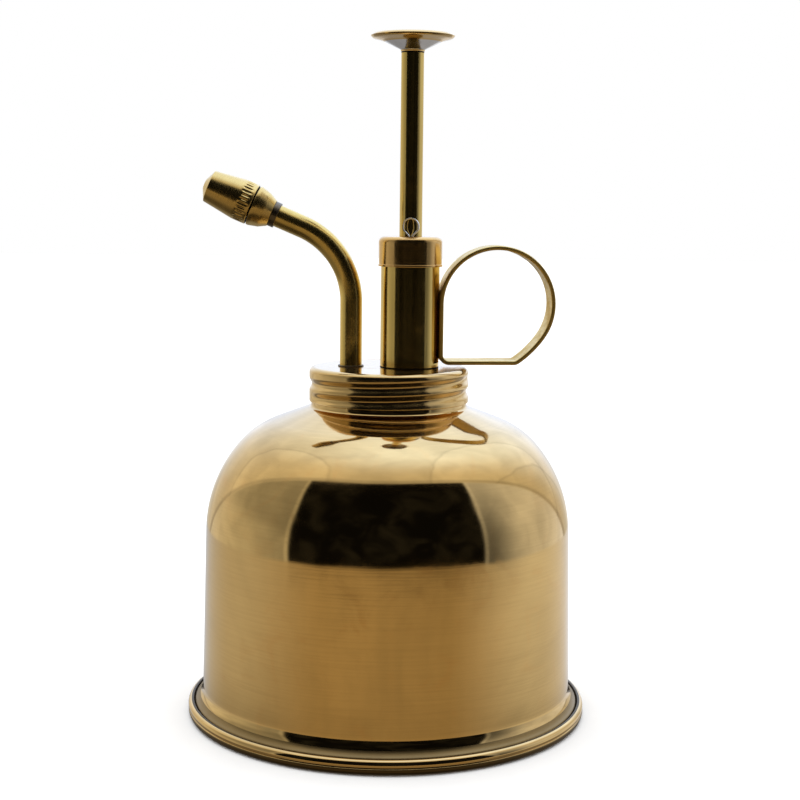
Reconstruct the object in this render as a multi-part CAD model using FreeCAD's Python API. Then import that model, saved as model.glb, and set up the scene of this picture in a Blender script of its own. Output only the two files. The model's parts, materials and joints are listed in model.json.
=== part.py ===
import FreeCAD, Part
import math
import os

from FreeCAD import Rotation, Vector

# Brass hand-pump plant mister. Millimetres, +Z up. The origin is the centre of the base on the ground.
# The spout points to -X and the finger loop to +X. The tank, its neck and the screw cap share the Z axis.

# Tank
RIM_R = 49.0            # outside of the rolled rim
RIM_H = 3.8
RIM_WALL = 1.55
RIM_GROOVE = 0.25       # depth of the seam line round the rim
RIM_EDGE = 1.4          # rounding of the rim's lower edge
SHEET = 0.8             # brass sheet of the tank, the base and the cap's skirt
FOOT_Z = 0.9            # lower edge of the shell inside the rim
FOOT_RUN = 2.0          # upright edge of the shell, soldered to the base plate's flange
FOOT_EDGE_R = 1.2       # convex edge above the foot, then the cove that meets the wall
COVE_R = 4.5
COVE_TURN = 49.86        # degrees
WALL_TAPER = 1.3        # degrees
WALL_RUN = 38.77
SHOULDER_R, SHOULDER_TURN = 32.6, 39.3
CROWN_R, CROWN_TURN = 21.5, 28.5
CROWN_RUN = 9.0012      # straight slope from the crown to the neck
NECK_BEND_R = 1.0
NECK_R = 18.9
NECK_TOP = 77.1

# Screw cap and its thread
CAP_R = 19.4
CAP_TOP = 85.6
CAP_BOTTOM = 77.2
CAP_PLATE = 1.0
THREAD_PITCH = 3.2
THREAD_AXIS_R = 19.75   # radius of the helix that every thread section is centred on
THREAD_GROOVE_R = 1.0
THREAD_START_Z = 78.4
THREAD_RISE = 4.8
THREAD_START_ANGLE = -169.0
THREAD_PLAY = 0.25
RING_R = 18.4           # outside of the threaded ring in the neck
RING_BORE = 16.9
GASKET_H = 1.2

# Pump, on its own vertical axis
PUMP_X = 4.9
BARREL_R, BARREL_BORE = 7.12, 6.32
BARREL_BOTTOM, BARREL_TOP = 50.0, 114.5
GUIDE_BOTTOM = 109.0
ROD_R = 2.75
RUNNING = 0.06          # radial clearance of a running fit
GLAND_R = 7.67
GLAND_BOTTOM, GLAND_TOP = 110.0, 117.2
GLAND_PLATE = 1.2
GLAND_LIP = 0.12        # how far the gland's lower lip stands out
ROD_TOP = 160.75
DISH_R, DISH_Z = 2.3, 160.95        # foot of the dish's cone
DISH_SLOPE = 25.8       # degrees
HUB_TOP = 162.45
STEM_END_R = 1.5        # the rod's riveted end
STROKE = 38.0
PIN_Y = -4.6            # the split pin stands in a small hole in front of the rod
PIN_WIRE = 0.38
PIN_HOLE = 0.9
PIN_TOP = 121.87
PISTON_TOP = 108.8
PISTON_H = 5.0
CUP_H = 3.8
ROD_END_R = 1.9
SPRING_TOP = PISTON_TOP - PISTON_H - 1.8
SPRING_TURNS = 10

# Valve block and the parts in it
BLOCK_BOTTOM, BLOCK_TOP = 42.6, 54.0
BLOCK_R = 8.2
BLOCK_ARM_W = 8.0
RISER_FLOOR = 51.6
BALL_R = 1.5
BALL_LIFT = 1.0
PORT_R = 1.0            # water passages
SEAT_R = 0.9
INLET_SEAT_Z = 43.6     # foot of the inlet's 45 degree seat
OUTLET_SEAT_Z = 46.6
DUCT_Z = 44.8           # cross duct from the pump's foot to the outlet valve
CHAMBER_R = 2.0
PIN_R = 0.4

# Spout and nozzle
SPOUT_X = -9.33
SPOUT_R, SPOUT_BORE = 2.68, 1.9
SPOUT_BEND_Z = 101.25
SPOUT_BEND_R = 19.5
SPOUT_TURN = 67.0       # degrees from vertical
SPOUT_RUN = 9.0         # straight run from the bend to the nozzle's rear face
NOZZLE_L = 16.5
NOZZLE_R = 5.0
NOZZLE_TAPER_Z = 7.6    # where the cap starts to narrow towards its tip
NOZZLE_TIP_R = 3.95
NOZZLE_TIP_H = 1.25
ORIFICE_R = 0.45
BODY_R = 4.9
BODY_L = 3.8            # front of the nozzle's body, from the rear face
BODY_BACK = 1.0         # how far the body's cone reaches back over the spout
WASHER_H = 1.5
STEM_R = 3.0
SEAM = 0.35
SEAL_Z = 9.2
SEAL_WIRE = 0.5
FLUTES = 30

# Finger loop
LOOP_X, LOOP_Z = 25.9, 101.0
LOOP_R = 14.15
LOOP_T = 1.0
LOOP_W = 8.0
LOOP_BOTTOM = 86.35
LOOP_YAW = 5.0          # degrees that the loop is turned about the barrel, away from the split pin

UP = Vector(0, 0, 1)


class Pen:
    """Draws tangent runs and arcs in the XZ plane, `inset` to the left of the nominal line."""

    def __init__(self, x, z, heading, inset=0.0):
        self.heading = math.radians(heading)
        self.inset = inset
        left = Vector(-math.sin(self.heading), 0, math.cos(self.heading))
        self.point = Vector(x, 0, z) + left * inset
        self.start = self.point
        self.edges = []

    def run(self, length):
        ahead = Vector(math.cos(self.heading), 0, math.sin(self.heading))
        end = self.point + ahead * length
        self.edges.append(Part.LineSegment(self.point, end).toShape())
        self.point = end

    def bend(self, radius, angle):
        """Turns left for a positive angle and right for a negative one."""
        side = math.copysign(1.0, angle)
        reach = radius - side * self.inset

        def radial(heading):
            return Vector(math.sin(heading), 0, -math.cos(heading)) * (side * reach)

        centre = self.point - radial(self.heading)
        half = self.heading + math.radians(angle) / 2
        self.heading += math.radians(angle)
        middle = centre + radial(half)
        end = centre + radial(self.heading)
        self.edges.append(Part.Arc(self.point, middle, end).toShape())
        self.point = end


def revolve(wire, x=0.0):
    return Part.Face(wire).revolve(Vector(x, 0, 0), UP, 360)


def spun(draw, start, thickness, x=0.0):
    """Sheet metal of revolution about the vertical axis at x: `draw` makes its outer face."""
    radius, height, heading = start
    outer = Pen(x + radius, height, heading)
    draw(outer)
    inner = Pen(x + radius, height, heading, thickness)
    draw(inner)
    ends = [(outer.point, inner.point), (inner.start, outer.start)]
    caps = [Part.LineSegment(a, b).toShape() for a, b in ends]
    return revolve(Part.Wire(Part.__sortEdges__(outer.edges + inner.edges + caps)), x)


def turned(points, x=0.0):
    """A solid of revolution from a closed outline of (radius, height) corners."""
    corners = [Vector(x + r, 0, z) for r, z in points]
    return revolve(Part.makePolygon(corners + corners[:1]), x)


def rod(radius, bottom, top, x=0.0, y=0.0):
    return Part.makeCylinder(radius, top - bottom, Vector(x, y, bottom))


def tube(radius, bore, bottom, top, x=0.0):
    return rod(radius, bottom, top, x).cut(rod(bore, bottom - 1, top + 1, x))


def cross_rod(radius, start, end):
    return Part.makeCylinder(radius, (end - start).Length, start, end - start)


def round_edges(shape, radius, chosen):
    return shape.makeFillet(radius, [e for e in shape.Edges if chosen(e)])


def ring_at(height, radius, x=0.0):
    """Chooses the circular edges of one radius at one height, about the vertical axis at x."""

    def chosen(edge):
        curve = edge.Curve
        if not isinstance(curve, Part.Circle) or abs(curve.Radius - radius) > 1e-3:
            return False
        return (curve.Center - Vector(x, 0, height)).Length < 1e-3

    return chosen


def bent_path(corners, radii):
    """A wire of straight runs joined by tangent arcs, one radius for each inner corner."""
    edges = []
    here = corners[0]
    for before, corner, after, radius in zip(corners, corners[1:], corners[2:], radii):
        back = (before - corner).normalize()
        ahead = (after - corner).normalize()
        half = back.getAngle(ahead) / 2
        reach = radius / math.tan(half)
        middle = (back + ahead).normalize() * (radius / math.sin(half) - radius)
        arc_start = corner + back * reach
        arc_end = corner + ahead * reach
        edges.append(Part.LineSegment(here, arc_start).toShape())
        edges.append(Part.Arc(arc_start, corner + middle, arc_end).toShape())
        here = arc_end
    edges.append(Part.LineSegment(here, corners[-1]).toShape())
    return Part.Wire(edges)


def wire_along(path, radius):
    """A round bar that follows a path."""
    start = path.OrderedVertexes[0].Point
    first = path.OrderedEdges[0]
    direction = first.tangentAt(first.FirstParameter)
    if (first.valueAt(first.FirstParameter) - start).Length > 1e-6:
        direction = first.tangentAt(first.LastParameter) * -1
    section = Part.Wire(Part.makeCircle(radius, start, direction))
    return path.makePipeShell([section], True, False)


def helical_bar(bar_r, helix_r, pitch, rise, bottom, angle=0.0, x=0.0):
    """A round bar wound as a right-hand helix about the vertical axis at x."""
    path = Part.Wire(Part.makeHelix(pitch, rise, helix_r))
    section = Part.Wire(Part.makeCircle(bar_r, Vector(helix_r, 0, 0), Vector(0, 1, 0)))
    bar = path.makePipeShell([section], True, True)
    bar.rotate(Vector(0, 0, 0), UP, angle)
    bar.translate(Vector(x, 0, bottom))
    return bar


def hexagon(across_flats, bottom, top, x=0.0):
    corner = across_flats / math.sqrt(3)
    spots = [math.radians(60 * i) for i in range(7)]
    outline = [Vector(x + corner * math.cos(a), corner * math.sin(a), bottom) for a in spots]
    return Part.Face(Part.makePolygon(outline)).extrude(UP * (top - bottom))


def on_nozzle(shape):
    """Moves a part built along +Z from the nozzle's rear face into its place on the spout."""
    turn = math.radians(SPOUT_TURN)
    across = SPOUT_BEND_R * (1 - math.cos(turn)) + SPOUT_RUN * math.sin(turn)
    rise = SPOUT_BEND_R * math.sin(turn) + SPOUT_RUN * math.cos(turn)
    rear = Vector(SPOUT_X - across, 0, SPOUT_BEND_Z + rise)
    shape.Placement = FreeCAD.Placement(rear, Rotation(Vector(0, 1, 0), -SPOUT_TURN))
    return shape


# ---- tank ----

def draw_bell(pen):
    pen.run(FOOT_RUN)
    pen.bend(FOOT_EDGE_R, COVE_TURN + WALL_TAPER)
    pen.bend(COVE_R, -COVE_TURN)
    pen.run(WALL_RUN)
    pen.bend(SHOULDER_R, SHOULDER_TURN)
    pen.bend(CROWN_R, CROWN_TURN)
    pen.run(CROWN_RUN)
    pen.bend(NECK_BEND_R, -WALL_TAPER - SHOULDER_TURN - CROWN_TURN)
    pen.run(NECK_TOP - pen.point.z)


def reservoir_shell():
    return spun(draw_bell, (RIM_R - RIM_WALL, FOOT_Z, 90.0), SHEET)


def base_plate():
    edge = RIM_R - RIM_WALL - SHEET
    floor = FOOT_Z
    return turned([
        (0, floor + 1.2), (38, floor + 1.2), (40, floor), (edge, floor),
        (edge, floor + FOOT_RUN), (edge - SHEET, floor + FOOT_RUN), (edge - SHEET, floor + SHEET),
        (40.3, floor + SHEET), (38.3, floor + 1.2 + SHEET), (0, floor + 1.2 + SHEET),
    ])


def base_rim():
    inner = RIM_R - RIM_WALL
    seam = RIM_H / 2
    rim = turned([
        (inner - 1.6, 0), (RIM_R, 0), (RIM_R, seam - 0.2), (RIM_R - RIM_GROOVE, seam),
        (RIM_R, seam + 0.2), (RIM_R, RIM_H), (inner, RIM_H), (inner, FOOT_Z), (inner - 1.6, FOOT_Z),
    ])
    rim = round_edges(rim, RIM_EDGE, ring_at(0, RIM_R))
    return round_edges(rim, 1.2, ring_at(RIM_H, RIM_R))


def neck_ring():
    top = CAP_TOP - CAP_PLATE - GASKET_H
    inset = NECK_R - SHEET
    ring = turned([
        (RING_BORE, NECK_TOP - 2.2), (inset, NECK_TOP - 2.2), (inset, NECK_TOP),
        (RING_R, NECK_TOP), (RING_R, top), (RING_BORE, top),
    ])
    bar = THREAD_GROOVE_R + SHEET + THREAD_PLAY
    lead_in = 0.25 * THREAD_PITCH
    groove = helical_bar(
        bar, THREAD_AXIS_R, THREAD_PITCH, THREAD_RISE + THREAD_PITCH + lead_in,
        THREAD_START_Z - lead_in, THREAD_START_ANGLE - 90.0,
    )
    return ring.cut(groove)


# ---- head ----

def thread_bar(radius):
    return helical_bar(
        radius, THREAD_AXIS_R, THREAD_PITCH, THREAD_RISE, THREAD_START_Z, THREAD_START_ANGLE
    )


def screw_cap():
    plate = CAP_TOP - CAP_PLATE
    bore = CAP_R - SHEET
    cap = rod(CAP_R, CAP_BOTTOM, CAP_TOP)
    cap = round_edges(cap, 1.4, ring_at(CAP_TOP, CAP_R))
    cap = round_edges(cap, 0.35, ring_at(CAP_BOTTOM, CAP_R))
    cap = cap.cut(rod(bore, CAP_BOTTOM - 1, plate))
    band = tube(CAP_R - SHEET / 2, bore - 2.0, CAP_BOTTOM + 0.05, plate + 0.1)
    ridge = thread_bar(THREAD_GROOVE_R + SHEET).common(band)
    cap = cap.fuse(ridge).cut(thread_bar(THREAD_GROOVE_R))
    for radius, x in ((BARREL_R, PUMP_X), (SPOUT_R, SPOUT_X)):
        cap = cap.cut(rod(radius + 0.01, plate - 1, CAP_TOP + 1, x))
    return cap


def cap_gasket():
    plate = CAP_TOP - CAP_PLATE
    return tube(17.7, 15.2, plate - GASKET_H, plate)


def pump_barrel():
    return tube(BARREL_R, BARREL_BORE, BARREL_BOTTOM, BARREL_TOP, PUMP_X)


def pin_hole():
    return rod(PIN_HOLE, GUIDE_BOTTOM - 1, GLAND_TOP + 1, PUMP_X, PIN_Y)


def rod_guide():
    plug_r = BARREL_BORE - 0.02
    bore = ROD_R + RUNNING
    guide = turned([
        (bore, GUIDE_BOTTOM), (plug_r, GUIDE_BOTTOM), (plug_r, BARREL_TOP),
        (BARREL_R, BARREL_TOP), (BARREL_R, BARREL_TOP + 0.5), (bore, BARREL_TOP + 0.5),
    ], PUMP_X)
    return guide.cut(pin_hole())


def gland_packing():
    ring = tube(BARREL_R, ROD_R + 0.03, BARREL_TOP + 0.5, GLAND_TOP - GLAND_PLATE, PUMP_X)
    return ring.cut(pin_hole())


def barrel_cap():
    plate = GLAND_TOP - GLAND_PLATE
    cap = rod(GLAND_R, GLAND_BOTTOM, GLAND_TOP, PUMP_X)
    cap = round_edges(cap, 1.3, ring_at(GLAND_TOP, GLAND_R, PUMP_X))
    cap = cap.cut(rod(BARREL_R + 0.02, GLAND_BOTTOM - 1, plate, PUMP_X))
    cap = cap.cut(rod(ROD_R + RUNNING, plate - 1, GLAND_TOP + 1, PUMP_X))
    lip = tube(GLAND_R + GLAND_LIP, GLAND_R - 0.2, GLAND_BOTTOM, GLAND_BOTTOM + 0.5, PUMP_X)
    return cap.fuse(lip).cut(pin_hole())


def split_pin():
    eye_r = 1.85
    eye_z = PIN_TOP - PIN_WIRE - eye_r
    leg = 0.4
    knee_z = eye_z - 2.25

    def at(x, z):
        return Vector(PUMP_X + x, PIN_Y, z)

    corners = [
        at(-leg, GUIDE_BOTTOM + 1.0), at(-leg, knee_z), at(-eye_r, eye_z - 0.75),
        at(-eye_r, eye_z + eye_r), at(eye_r, eye_z + eye_r),
        at(eye_r, eye_z - 0.75), at(leg, knee_z), at(leg, GUIDE_BOTTOM + 1.0),
    ]
    radii = [0.45, 1.3, eye_r - 0.01, eye_r - 0.01, 1.3, 0.45]
    return wire_along(bent_path(corners, radii), PIN_WIRE)


def loop_centreline():
    """The strap's centreline, drawn clockwise from the foot of its straight side."""
    foot_r, heel_r = 2.5, 2.4
    slope = math.radians(35)
    pen = Pen(LOOP_X - LOOP_R, LOOP_BOTTOM + foot_r, 90.0, -LOOP_T / 2)
    pen.run(LOOP_Z - LOOP_BOTTOM - foot_r)
    pen.bend(LOOP_R, -215.0)
    pen.bend(24.5, -20.0)
    floor = LOOP_BOTTOM + LOOP_T / 2
    heel_top = floor + (heel_r - LOOP_T / 2) * (1 - math.cos(slope))
    pen.run((pen.point.z - heel_top) / math.sin(slope))
    pen.bend(heel_r, -35.0)
    pen.run(pen.point.x - (LOOP_X - LOOP_R + foot_r))
    pen.bend(foot_r, -90.0)
    return pen


def rounded_section(centre, thickness, width, radius):
    """A flat bar's section in the XY plane, with rounded corners."""
    x, y = thickness / 2, width / 2
    diagonal = radius * (1 - math.sqrt(0.5))
    edges = []
    for turn in range(4):
        half_x, half_y = (x, y) if turn % 2 == 0 else (y, x)
        quarter = Rotation(UP, 90 * turn)
        points = [
            (half_x, radius - half_y), (half_x, half_y - radius),
            (half_x - diagonal, half_y - diagonal), (half_x - radius, half_y),
        ]
        side, corner, middle, end = [
            centre + quarter.multVec(Vector(a, b, 0)) for a, b in points
        ]
        edges.append(Part.LineSegment(side, corner).toShape())
        edges.append(Part.Arc(corner, middle, end).toShape())
    return Part.Wire(edges)


def finger_loop():
    pen = loop_centreline()
    section = rounded_section(pen.start, LOOP_T, LOOP_W, 0.42)
    strap = Part.Wire(pen.edges).makePipeShell([section], True, False)
    strap.rotate(Vector(PUMP_X, 0, 0), UP, LOOP_YAW)
    return strap.cut(rod(BARREL_R + 0.005, LOOP_BOTTOM - 5, GLAND_BOTTOM, PUMP_X))


def spout_tube():
    turn = math.radians(SPOUT_TURN)
    reach = SPOUT_BEND_R * math.tan(turn / 2)
    ahead = Vector(-math.sin(turn), 0, math.cos(turn))
    corner = Vector(SPOUT_X, 0, SPOUT_BEND_Z + reach)
    end = corner + ahead * (reach + SPOUT_RUN + BODY_L - 1.0)
    path = bent_path([Vector(SPOUT_X, 0, RISER_FLOOR), corner, end], [SPOUT_BEND_R])
    return wire_along(path, SPOUT_R).cut(wire_along(path, SPOUT_BORE))


def spout_base_ring():
    top = CAP_TOP + 0.3
    ring = tube(SPOUT_R + 0.45, SPOUT_R + 0.01, CAP_TOP, top, SPOUT_X)
    return round_edges(ring, 0.2, ring_at(top, SPOUT_R + 0.45, SPOUT_X))


# ---- nozzle, built along +Z from its rear face ----

def nozzle_washer():
    return on_nozzle(tube(3.1, SPOUT_R + 0.01, -BODY_BACK - WASHER_H, -BODY_BACK))


def nozzle_body():
    socket_end = BODY_L - 1.0
    body = turned([
        (SPOUT_R + 0.01, -BODY_BACK), (3.25, -BODY_BACK), (4.3, 0.9), (BODY_R, 3.2), (BODY_R, BODY_L),
        (STEM_R, BODY_L), (STEM_R, 10.6), (2.0, 10.6), (2.0, socket_end),
        (SPOUT_R + 0.01, socket_end),
    ])
    return on_nozzle(body)


def swirl_insert():
    core = rod(1.98, 5.0, 12.2)
    tip = Part.makeCone(1.5, 0.6, 1.6, Vector(0, 0, 12.2))
    core = core.fuse(tip)
    for i in range(3):
        slot = Part.makeBox(0.8, 2.0, 9.0, Vector(-0.4, 1.2, 4.5))
        slot.rotate(Vector(0, 0, 0), UP, 120 * i)
        core = core.cut(slot)
    return on_nozzle(core)


def nozzle_seal():
    return on_nozzle(Part.makeTorus(STEM_R + 0.05 + SEAL_WIRE, SEAL_WIRE, Vector(0, 0, SEAL_Z)))


def nozzle_cap():
    rear = BODY_L + SEAM
    shoulder = NOZZLE_L - NOZZLE_TIP_H
    outline = [
        (STEM_R + 0.1, rear), (NOZZLE_R - 0.1, rear), (NOZZLE_R, rear + 0.1),
        (NOZZLE_R, NOZZLE_TAPER_Z), (NOZZLE_TIP_R, shoulder), (1.3, NOZZLE_L), (ORIFICE_R, NOZZLE_L),
        (ORIFICE_R, 14.9), (1.2, 14.2), (2.5, 13.4), (2.5, 10.9), (STEM_R + 0.1, 10.9),
    ]
    cap = turned(outline)
    groove_r = STEM_R + 0.1 + 2 * SEAL_WIRE
    half = SEAL_WIRE + 0.06
    cap = cap.cut(tube(groove_r, STEM_R, SEAL_Z - half, SEAL_Z + half))
    for i in range(FLUTES):
        notch = rod(0.27, 5.1, 7.1, NOZZLE_R + 0.02)
        notch.rotate(Vector(0, 0, 0), UP, 360 * i / FLUTES)
        cap = cap.cut(notch)
    return on_nozzle(cap)


# ---- plunger ----

def draw_dish(pen):
    pen.run(5.4)
    pen.bend(2.0, -13.0)
    pen.run(1.6)
    pen.bend(1.3, 40.0)
    pen.run(0.25)


def thumb_dish():
    dish = spun(draw_dish, (DISH_R, DISH_Z, DISH_SLOPE), SHEET, PUMP_X)
    hub = turned([
        (STEM_END_R, ROD_TOP), (ROD_R + 0.1, ROD_TOP), (ROD_R + 0.2, ROD_TOP + 0.9), (STEM_END_R, HUB_TOP),
    ], PUMP_X)
    return dish.fuse(hub).removeSplitter()


def plunger_rod():
    piston_bottom = PISTON_TOP - PISTON_H
    shaft = rod(ROD_R, PISTON_TOP, ROD_TOP, PUMP_X)
    tail = rod(ROD_END_R, piston_bottom - CUP_H - 3.2, PISTON_TOP, PUMP_X)
    stem = rod(STEM_END_R, ROD_TOP, HUB_TOP + 0.4, PUMP_X)
    head = turned([(0, HUB_TOP), (2.0, HUB_TOP), (1.6, HUB_TOP + 0.6), (0, HUB_TOP + 0.9)], PUMP_X)
    return shaft.fuse([tail, stem, head]).removeSplitter()


def piston():
    body = tube(BARREL_BORE - 0.08, ROD_END_R + 0.01, PISTON_TOP - PISTON_H, PISTON_TOP, PUMP_X)
    for step in (1.3, 3.1):
        bottom = PISTON_TOP - step - 0.6
        body = body.cut(tube(BARREL_BORE, BARREL_BORE - 0.6, bottom, bottom + 0.6, PUMP_X))
    return body


def piston_cup():
    top = PISTON_TOP - PISTON_H
    lip_r = BARREL_BORE - 0.04
    return turned([
        (ROD_END_R + 0.01, top), (lip_r, top), (lip_r, top - CUP_H),
        (lip_r - 0.7, top - CUP_H), (lip_r - 1.0, top - 1.0), (ROD_END_R + 0.01, top - 1.0),
    ], PUMP_X)


def piston_nut():
    top = PISTON_TOP - PISTON_H - 1.0
    flange = tube(5.05, ROD_END_R + 0.01, top - 0.8, top, PUMP_X)
    nut = hexagon(6.0, top - 3.6, top - 0.8, PUMP_X)
    return flange.fuse(nut.cut(rod(ROD_END_R + 0.01, top - 5, top, PUMP_X))).removeSplitter()


def return_spring():
    wire = 0.4
    rise = SPRING_TOP - BARREL_BOTTOM - 2 * wire - 0.1
    return helical_bar(wire, 4.55, rise / SPRING_TURNS, rise, BARREL_BOTTOM + wire + 0.05, 0.0, PUMP_X)


# ---- valves and suction ----

def ball_centre(seat_z):
    """Height of a ball resting on a 45 degree seat that starts at SEAT_R."""
    contact = BALL_R * math.sin(math.radians(45))
    return seat_z + (contact - SEAT_R) + contact + 0.03


def stop_pin_z(seat_z):
    return ball_centre(seat_z) + BALL_R + BALL_LIFT + 0.03 + PIN_R


VALVES = (
    (PUMP_X, INLET_SEAT_Z, 7.0),
    (SPOUT_X, OUTLET_SEAT_Z, 3.9),
)


def stop_pins(radius):
    pins = []
    for x, seat_z, reach in VALVES:
        height = stop_pin_z(seat_z)
        pins.append(cross_rod(radius, Vector(x, -reach, height), Vector(x, reach, height)))
    return Part.makeCompound(pins)


def seat_cone(seat_z, x):
    return Part.makeCone(SEAT_R, SEAT_R + 1.0, 1.0, Vector(x, 0, seat_z))


def valve_block():
    boss = rod(BLOCK_R, BLOCK_BOTTOM, BLOCK_TOP, PUMP_X)
    boss = boss.cut(rod(BARREL_R + 0.01, BARREL_BOTTOM, BLOCK_TOP + 1, PUMP_X))
    arm_w = PUMP_X - SPOUT_X
    arm = Part.makeBox(arm_w, BLOCK_ARM_W, BARREL_BOTTOM - BLOCK_BOTTOM,
                       Vector(SPOUT_X, -BLOCK_ARM_W / 2, BLOCK_BOTTOM))
    riser = rod(4.2, BLOCK_BOTTOM, BLOCK_TOP, SPOUT_X)
    block = boss.fuse([arm, riser]).removeSplitter()
    block = block.cut(rod(2.9, BLOCK_BOTTOM - 1, INLET_SEAT_Z + 1.0, PUMP_X))
    block = block.cut(rod(CHAMBER_R, INLET_SEAT_Z, BARREL_BOTTOM + 1, PUMP_X))
    block = block.cut(rod(CHAMBER_R, OUTLET_SEAT_Z + 1.0, RISER_FLOOR + 1, SPOUT_X))
    block = block.cut(rod(SPOUT_R + 0.01, RISER_FLOOR, BLOCK_TOP + 1, SPOUT_X))
    block = block.cut(seat_cone(OUTLET_SEAT_Z, SPOUT_X))
    duct_x = PUMP_X - 4.4
    block = block.cut(rod(SEAT_R, DUCT_Z, OUTLET_SEAT_Z + 0.1, SPOUT_X))
    block = block.cut(rod(PORT_R, DUCT_Z, BARREL_BOTTOM + 1, duct_x))
    block = block.cut(cross_rod(PORT_R, Vector(SPOUT_X - 5, 0, DUCT_Z), Vector(duct_x, 0, DUCT_Z)))
    return block.cut(stop_pins(PIN_R + 0.01))


def bore_plug():
    plug = cross_rod(PORT_R - 0.01, Vector(SPOUT_X - 4.15, 0, DUCT_Z), Vector(SPOUT_X - 2.2, 0, DUCT_Z))
    head = cross_rod(1.6, Vector(SPOUT_X - 4.75, 0, DUCT_Z), Vector(SPOUT_X - 4.21, 0, DUCT_Z))
    neck = cross_rod(PORT_R - 0.01, Vector(SPOUT_X - 4.3, 0, DUCT_Z), Vector(SPOUT_X - 4.1, 0, DUCT_Z))
    return plug.fuse([head, neck]).removeSplitter()


def inlet_seat():
    seat = turned([
        (SEAT_R, 36.0), (1.95, 36.0), (1.95, 41.0), (3.6, 41.0), (3.6, BLOCK_BOTTOM),
        (2.89, BLOCK_BOTTOM), (2.89, INLET_SEAT_Z + 1.0), (SEAT_R, INLET_SEAT_Z + 1.0),
    ], PUMP_X)
    return seat.cut(seat_cone(INLET_SEAT_Z, PUMP_X))


def inlet_ball():
    return Part.makeSphere(BALL_R, Vector(PUMP_X, 0, ball_centre(INLET_SEAT_Z)))


def outlet_ball():
    return Part.makeSphere(BALL_R, Vector(SPOUT_X, 0, ball_centre(OUTLET_SEAT_Z)))


def ball_stop_pins():
    return stop_pins(PIN_R)


def dip_tube():
    return tube(2.75, 1.96, 6.5, 41.0, PUMP_X)


def strainer():
    cup = turned([
        (0, 4.4), (3.6, 4.4), (3.6, 10.0), (2.76, 10.0), (2.76, 6.5), (2.0, 6.5), (2.0, 5.2), (0, 5.2),
    ], PUMP_X)
    slots = []
    for i in range(6):
        slot = Part.makeBox(4.0, 0.7, 1.1, Vector(PUMP_X, -0.35, 5.3))
        slot.rotate(Vector(PUMP_X, 0, 0), UP, 60 * i)
        slots.append(slot)
    return cup.cut(slots)


NODES = (
    reservoir_shell, base_plate, base_rim, neck_ring,
    cap_gasket, screw_cap, pump_barrel, rod_guide, gland_packing, barrel_cap, split_pin,
    finger_loop, spout_tube, spout_base_ring,
    nozzle_washer, nozzle_body, swirl_insert, nozzle_seal, nozzle_cap,
    plunger_rod, thumb_dish, piston, piston_cup, piston_nut, return_spring,
    valve_block, bore_plug, inlet_seat, inlet_ball, outlet_ball, ball_stop_pins, dip_tube, strainer,
)

os.makedirs("parts", exist_ok=True)
for make in NODES:
    shape = make()
    shape.exportStep("parts/" + make.__name__ + ".step")
    print(make.__name__, "volume %.2f mm3" % shape.Volume, "solids", len(shape.Solids), shape.isValid())
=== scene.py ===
import json
import math

import bmesh
import bpy
from mathutils import Matrix, Vector


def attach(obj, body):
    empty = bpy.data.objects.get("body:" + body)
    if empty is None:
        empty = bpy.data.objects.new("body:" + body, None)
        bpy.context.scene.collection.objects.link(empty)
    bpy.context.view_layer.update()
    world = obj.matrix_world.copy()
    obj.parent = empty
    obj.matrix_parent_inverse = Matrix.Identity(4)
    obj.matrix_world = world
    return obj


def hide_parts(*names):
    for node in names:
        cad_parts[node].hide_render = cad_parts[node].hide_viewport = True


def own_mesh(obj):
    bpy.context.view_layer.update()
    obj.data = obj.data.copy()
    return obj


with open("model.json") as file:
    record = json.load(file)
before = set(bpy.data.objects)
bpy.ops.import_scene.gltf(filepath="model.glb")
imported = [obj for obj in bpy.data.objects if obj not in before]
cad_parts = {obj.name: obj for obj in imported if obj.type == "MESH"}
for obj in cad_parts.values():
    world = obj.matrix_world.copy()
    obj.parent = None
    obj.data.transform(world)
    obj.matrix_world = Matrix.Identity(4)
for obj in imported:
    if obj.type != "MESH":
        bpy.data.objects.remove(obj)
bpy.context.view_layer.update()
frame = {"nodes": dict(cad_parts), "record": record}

# Looks of a polished brass plant mister. Outlines are in millimetres and become metres in grid_mesh().

MM = 0.001
PUMP_X = 4.9                     # axis of the barrel, rod and thumb dish
SPOUT_X = -9.33
SPOUT_TURN = 67.0                # degrees that the spout bends towards -X
SPOUT_FOOT_Z = 51.6
SPOUT_BEND_Z = 101.25
SPOUT_BEND_R = 19.5
SPOUT_RUN = 9.0
SPOUT_IN_NOZZLE = 2.8            # length of the spout's end inside the nozzle
SHEET = 0.8                      # thickness of the tank's and dish's brass
TANK_R = 47.45
RIM_R = 48.98
RIM_TOP_Z = 3.8
FOLD_Z = 1.9                     # middle of the fold in the rolled rim
NECK_TOP_Z = 77.17
PLATE_R, HOLE_R = 17.4, 6.7      # flat of the cap, and the hole in it that the barrel covers
SKIRT_BORE_R = 18.6
CAP_FOOT_Z, CAP_UNDER_Z, CAP_TOP_Z = 77.2, 84.6, 85.6
THREAD_PITCH = 3.2
THREAD_START_Z, THREAD_START = 78.4, math.radians(-169.0)
THREAD_TURNS, THREAD_FADE = 1.5, 0.07
THREAD_DEPTH, THREAD_HALF = 0.6, 1.6
GLAND_FOOT_Z, GLAND_TOP_Z = 110.0, 117.2
PIN_FOOT_Z, PIN_Y, PIN_TURN = 110.0, -4.6, math.radians(-14.0)
ROD_R, ROD_TOP_Z = 2.75, 160.75
RIVET_R, HUB_TOP_Z = 1.5, 162.45
TIN_R = 6.8                      # tinned part of the underside of the dish
LOOP_X, LOOP_Z, LOOP_R = 25.9, 101.0, 14.15
LOOP_TURN = math.radians(5.0)
STRAP, STRAP_HALF_WIDTH = 1.0, 4.0
FLUTES = 30


# ---- outlines ----

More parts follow.
